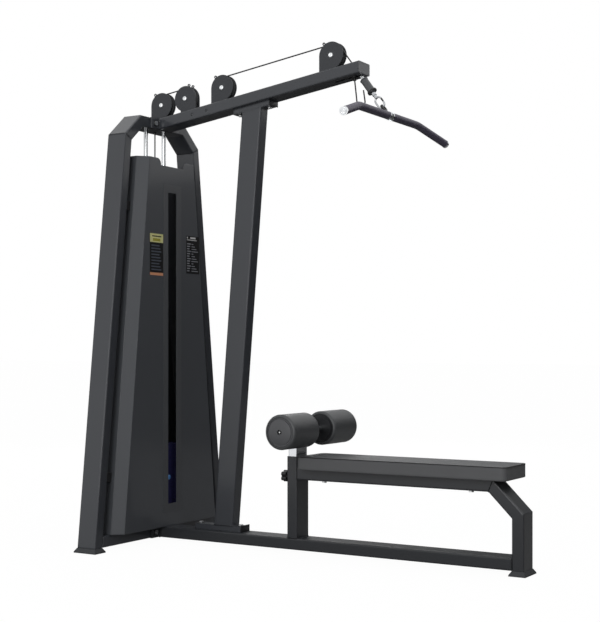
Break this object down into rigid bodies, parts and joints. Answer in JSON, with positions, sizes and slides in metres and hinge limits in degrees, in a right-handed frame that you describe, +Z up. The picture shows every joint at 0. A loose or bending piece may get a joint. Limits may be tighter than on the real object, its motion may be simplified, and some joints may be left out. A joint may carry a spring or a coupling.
{
  "type": "lat pulldown machine",
  "caption": "Seated cable pulldown: weight tower with covers, overhead pulley beam, hanging wide bar, bench and thigh rollers.",
  "frame": {"origin": "on the floor under the middle of the machine's bounding box", "axes": "+X from the weight tower along the bench, +Y across the machine, +Z up"},
  "size_m": [1.934, 0.9874, 2.1835],
  "materials": {
    "frame_paint": "satin powder coat",
    "cover_paint": "fine textured powder coat",
    "bench_paint": "satin powder coat",
    "foot_rubber": "matt",
    "plate_iron": "painted",
    "chrome": "polished",
    "bright_steel": "zinc plated",
    "wheel_plastic": "moulded",
    "cable_jacket": "smooth",
    "stop_rubber": "satin",
    "grip_rubber": "knurled",
    "foam": "closed-cell foam skin",
    "cap_plastic": "moulded",
    "vinyl": "grained vinyl",
    "plywood": "bare",
    "label_film": "printed film, bare",
    "bezel_plastic": "satin",
    "pin_blue": "moulded"
  },
  "bodies": {
    "frame": {"tower_leg_left": "frame_paint", "tower_leg_right": "frame_paint", "tower_top": "frame_paint", "tower_crossmember": "frame_paint", "foot_caps": "foot_rubber", "base_tube": "bench_paint", "post": "frame_paint", "beam": "frame_paint", "flange_bolts": "bright_steel", "post_bolts": "bright_steel", "stack_pulley_bracket": "frame_paint", "rear_pulley_bracket": "frame_paint", "middle_pulley_bracket": "frame_paint", "front_pulley_bracket": "frame_paint", "pulley_axles": "bright_steel", "guide_rods": "chrome", "stack_bumpers": "foot_rubber", "resting_plates_pile": "plate_iron", "front_cover": "cover_paint", "rear_cover": "cover_paint", "slot_bezel": "bezel_plastic", "label_plates": "label_film", "cover_brackets": "frame_paint", "bench_front_leg": "bench_paint", "seat_rail": "bench_paint", "bench_rear_leg": "bench_paint", "seat_board": "plywood", "seat_pad": "vinyl", "seat_bolts": "bright_steel", "bar_rest": "bench_paint", "main_cable": "cable_jacket"},
    "stack": {"lifted_plates_pile": "plate_iron", "top_plate": "plate_iron", "plate_bushings": "bezel_plastic", "selector_rod": "bright_steel", "cable_stud": "bright_steel", "stack_cable": "cable_jacket"},
    "pin": {"selector_pin": "pin_blue"},
    "cable_end": {"bar_cable": "cable_jacket", "cable_ferrule": "bright_steel", "cable_stop": "stop_rubber", "swivel": "chrome"},
    "pull_bar": {"spring_hook": "chrome", "lat_bar": "chrome", "bar_grips": "grip_rubber", "bar_fittings": "chrome"},
    "gate": {"hook_gate": "chrome"},
    "thigh_support": {"thigh_slider": "chrome", "roller_bolts": "chrome"},
    "roller_left": {"left_roller": "foam", "left_roller_caps": "cap_plastic"},
    "roller_right": {"right_roller": "foam", "right_roller_caps": "cap_plastic"},
    "clamp": {"height_knob": "cap_plastic"},
    "wheel_1": {"stack_pulley": "wheel_plastic"},
    "wheel_2": {"rear_pulley": "wheel_plastic"},
    "wheel_3": {"rear_guide_wheel": "wheel_plastic"},
    "wheel_4": {"front_guide_wheel": "wheel_plastic"},
    "wheel_5": {"middle_pulley": "wheel_plastic"},
    "wheel_6": {"front_pulley": "wheel_plastic"}
  },
  "joints": [
    {"name": "stack_lift", "type": "slide", "parent": "frame", "child": "stack", "axis": [0, 0, 1], "range_m": [0, 1], "deforming": ["stack_cable"]},
    {"name": "selector_pin_pull", "type": "slide", "parent": "stack", "child": "pin", "axis": [1, 0, 0], "range_m": [0, 0.08]},
    {"name": "bar_pull", "type": "slide", "parent": "frame", "child": "cable_end", "axis": [0.5934, 0, -0.8049], "range_m": [0, 1], "deforming": ["bar_cable"]},
    {"name": "bar_swivel", "type": "hinge", "parent": "cable_end", "child": "pull_bar", "pos_m": [0.35053, 0, 1.84516], "axis": [0.5934, 0, -0.8049], "continuous": true},
    {"name": "hook_gate_open", "type": "hinge", "parent": "pull_bar", "child": "gate", "pos_m": [0.31513, 0, 1.91846], "axis": [0, 1, 0], "range_deg": [0, 25], "stiffness_Nm_per_rad": 0.05, "springref_deg": -22.92},
    {"name": "thigh_height", "type": "slide", "parent": "frame", "child": "thigh_support", "axis": [0, 0, 1], "range_m": [0, 0.15]},
    {"name": "left_roller_spin", "type": "hinge", "parent": "thigh_support", "child": "roller_left", "pos_m": [-0.017, 0, 0.538], "axis": [0, 1, 0], "continuous": true},
    {"name": "right_roller_spin", "type": "hinge", "parent": "thigh_support", "child": "roller_right", "pos_m": [-0.017, 0, 0.538], "axis": [0, 1, 0], "continuous": true},
    {"name": "height_knob_turn", "type": "hinge", "parent": "frame", "child": "clamp", "pos_m": [-0.092, 0, 0.33], "axis": [1, 0, 0], "range_deg": [0, 360]},
    {"name": "stack_pulley_spin", "type": "hinge", "parent": "frame", "child": "wheel_1", "pos_m": [-0.817, 0, 2.0005], "axis": [0, 1, 0], "continuous": true},
    {"name": "rear_pulley_spin", "type": "hinge", "parent": "frame", "child": "wheel_2", "pos_m": [-0.682, 0, 2.01844], "axis": [0, 1, 0], "continuous": true},
    {"name": "rear_guide_wheel_spin", "type": "hinge", "parent": "frame", "child": "wheel_3", "pos_m": [-0.62, 0, 1.93511], "axis": [0, 1, 0], "continuous": true},
    {"name": "front_guide_wheel_spin", "type": "hinge", "parent": "frame", "child": "wheel_4", "pos_m": [-0.541, 0, 1.94615], "axis": [0, 1, 0], "continuous": true},
    {"name": "middle_pulley_spin", "type": "hinge", "parent": "frame", "child": "wheel_5", "pos_m": [-0.479, 0, 2.04679], "axis": [0, 1, 0], "continuous": true},
    {"name": "front_pulley_spin", "type": "hinge", "parent": "frame", "child": "wheel_6", "pos_m": [0.082, 0, 2.12514], "axis": [0, 1, 0], "continuous": true}
  ],
  "couplings": [
    {"joint": "bar_pull", "follows": "stack_lift", "ratio": 1},
    {"joint": "stack_pulley_spin", "follows": "stack_lift", "rad_per_m": 20},
    {"joint": "rear_pulley_spin", "follows": "stack_lift", "rad_per_m": 20},
    {"joint": "rear_guide_wheel_spin", "follows": "stack_lift", "rad_per_m": -83.333},
    {"joint": "front_guide_wheel_spin", "follows": "stack_lift", "rad_per_m": -83.333},
    {"joint": "middle_pulley_spin", "follows": "stack_lift", "rad_per_m": 20},
    {"joint": "front_pulley_spin", "follows": "stack_lift", "rad_per_m": 20}
  ]
}
